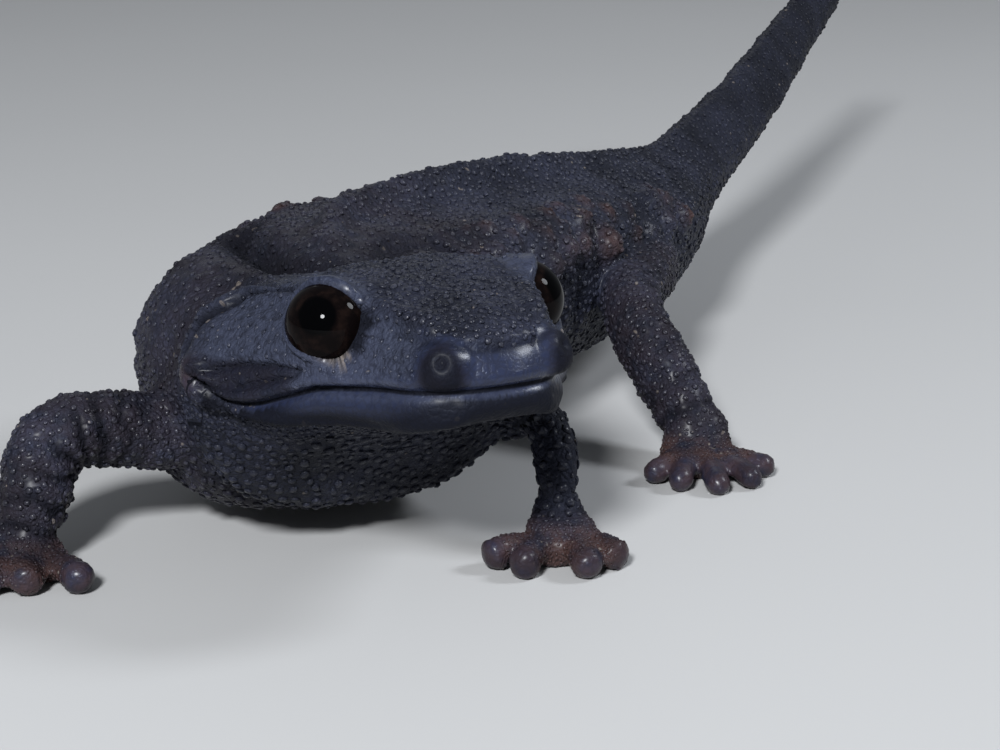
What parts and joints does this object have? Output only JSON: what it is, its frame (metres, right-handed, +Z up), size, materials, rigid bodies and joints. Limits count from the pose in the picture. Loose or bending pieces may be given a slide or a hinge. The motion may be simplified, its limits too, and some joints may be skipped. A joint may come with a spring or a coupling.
{
  "type": "crocodile newt",
  "caption": "Life-size model of a dark crocodile newt standing alert on splayed legs, head turned, tail held up behind.",
  "frame": {"origin": "centre of the bounding box on the floor plane", "axes": "+Z up, +Y from the head toward the tail, +X toward the animal's left"},
  "size_m": [0.0622, 0.1218, 0.0196],
  "materials": {
    "skin": "moist granular blue-black skin",
    "digit_skin": "moist brown-violet skin",
    "eye": "wet gloss, near black"
  },
  "bodies": {
    "root": {"head": "skin", "neck": "skin", "torso_front": "skin", "torso_rear": "skin", "tail_base": "skin", "tail_mid": "skin", "tail_tip": "skin", "eye_left": "eye", "eye_right": "eye", "upper_arm_left": "skin", "upper_arm_right": "skin", "forearm_left": "skin", "forearm_right": "skin", "hand_left": "digit_skin", "hand_right": "digit_skin", "thigh_left": "skin", "thigh_right": "skin", "shank_left": "skin", "shank_right": "skin", "foot_left": "digit_skin", "foot_right": "digit_skin"}
  },
  "joints": []
}
